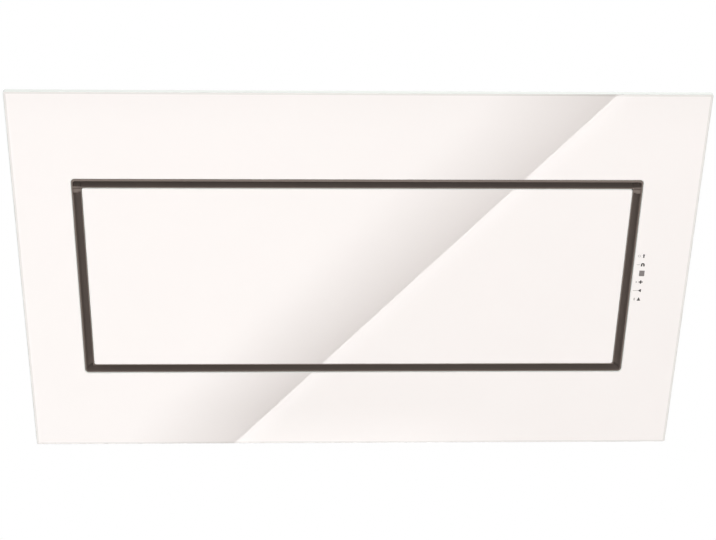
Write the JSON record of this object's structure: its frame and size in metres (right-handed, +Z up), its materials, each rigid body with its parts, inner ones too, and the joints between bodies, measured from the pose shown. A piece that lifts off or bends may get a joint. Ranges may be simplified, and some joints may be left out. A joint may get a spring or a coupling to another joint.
{
  "type": "wall range hood",
  "caption": "Inclined wall range hood with a white glass front, an intake slot round a hinged glass door, filters behind it and a round duct outlet on top.",
  "frame": {"origin": "centre of the four wall-fixing holes, on the wall face of the back plate", "axes": "+X to the right of a person facing the hood, +Y into the wall, +Z up"},
  "size_m": [0.9, 0.3671, 0.4796],
  "materials": {
    "white_glass": "toughened glass, painted white on the back",
    "bonding_foam": "matt",
    "dark_paint": "satin dark grey paint",
    "galvanised_steel": "zinc-coated",
    "casing_steel": "satin stainless",
    "screw_steel": "zinc-plated",
    "hinge_steel": "plain bright steel",
    "filter_aluminium": "mill finish",
    "filter_mesh": "layered expanded mesh",
    "black_plastic": "fine grain",
    "grey_plastic": "fine grain",
    "motor_paint": "black paint",
    "motor_iron": "laminated iron",
    "bush_rubber": "matt",
    "board_laminate": "solder resist",
    "lamp_aluminium": "satin",
    "lamp_lens": "frosted"
  },
  "bodies": {
    "hood": {"blower_bushes": "bush_rubber", "cable_gland": "grey_plastic", "capacitor": "grey_plastic", "carrier_frame": "galvanised_steel", "casing_back": "casing_steel", "casing_bottom": "casing_steel", "casing_screws": "screw_steel", "casing_side_left": "casing_steel", "casing_side_right": "casing_steel", "casing_top": "casing_steel", "catch_magnets": "dark_paint", "chamber_floor": "galvanised_steel", "collar_screws": "screw_steel", "control_board": "board_laminate", "control_box": "grey_plastic", "control_box_lid": "grey_plastic", "corner_angles": "galvanised_steel", "filter_frame_left": "filter_aluminium", "filter_frame_right": "filter_aluminium", "filter_mesh_left": "filter_mesh", "filter_mesh_right": "filter_mesh", "filter_partition": "galvanised_steel", "filter_rail_bottom": "dark_paint", "filter_rail_top": "dark_paint", "flap_pin": "hinge_steel", "glass_bonding_strips": "bonding_foam", "hinge_bases": "hinge_steel", "hinge_pins": "hinge_steel", "lamp_bodies": "lamp_aluminium", "lamp_driver": "grey_plastic", "lamp_lenses": "lamp_lens", "latch_guides": "filter_aluminium", "liner_bottom": "dark_paint", "liner_left": "dark_paint", "liner_right": "dark_paint", "liner_top": "dark_paint", "motor_bearings": "hinge_steel", "motor_can": "motor_paint", "motor_stator": "motor_iron", "outer_glass": "white_glass", "outlet_collar": "black_plastic", "outlet_plenum": "galvanised_steel", "scroll_cover": "galvanised_steel", "scroll_housing": "galvanised_steel", "slot_trim": "dark_paint", "touch_board": "board_laminate", "touch_housing": "black_plastic"},
    "door": {"door_glass": "white_glass", "door_bonding_strips": "bonding_foam", "door_tray": "dark_paint", "door_ribs": "dark_paint", "hinge_leaves": "hinge_steel", "catch_keepers": "hinge_steel"},
    "fan": {"impeller": "grey_plastic", "motor_shaft": "hinge_steel", "motor_rotor": "motor_iron"},
    "outlet_flap_front": {"flap_front": "black_plastic"},
    "outlet_flap_rear": {"flap_rear": "black_plastic"},
    "latch_left": {"filter_latch_left": "black_plastic"},
    "latch_right": {"filter_latch_right": "black_plastic"}
  },
  "joints": [
    {"name": "door_hinge", "type": "hinge", "parent": "hood", "child": "door", "pos_m": [0, -0.15451, -0.10293], "axis": [1, 0, 0], "range_deg": [0, 85]},
    {"name": "fan_spin", "type": "hinge", "parent": "hood", "child": "fan", "pos_m": [-0.067, -0.05, 0.05501], "axis": [0, 1, 0], "continuous": true},
    {"name": "flap_front_hinge", "type": "hinge", "parent": "hood", "child": "outlet_flap_front", "pos_m": [0, -0.09475, 0.18801], "axis": [-1, 0, 0], "range_deg": [0, 75]},
    {"name": "flap_rear_hinge", "type": "hinge", "parent": "hood", "child": "outlet_flap_rear", "pos_m": [0, -0.09475, 0.18801], "axis": [1, 0, 0], "range_deg": [0, 75]},
    {"name": "latch_left_slide", "type": "slide", "parent": "hood", "child": "latch_left", "axis": [0, -0.5, 0.866], "range_m": [-0.008, 0], "stiffness_N_per_m": 250, "springref_m": 0.008},
    {"name": "latch_right_slide", "type": "slide", "parent": "hood", "child": "latch_right", "axis": [0, -0.5, 0.866], "range_m": [-0.008, 0], "stiffness_N_per_m": 250, "springref_m": 0.008}
  ]
}
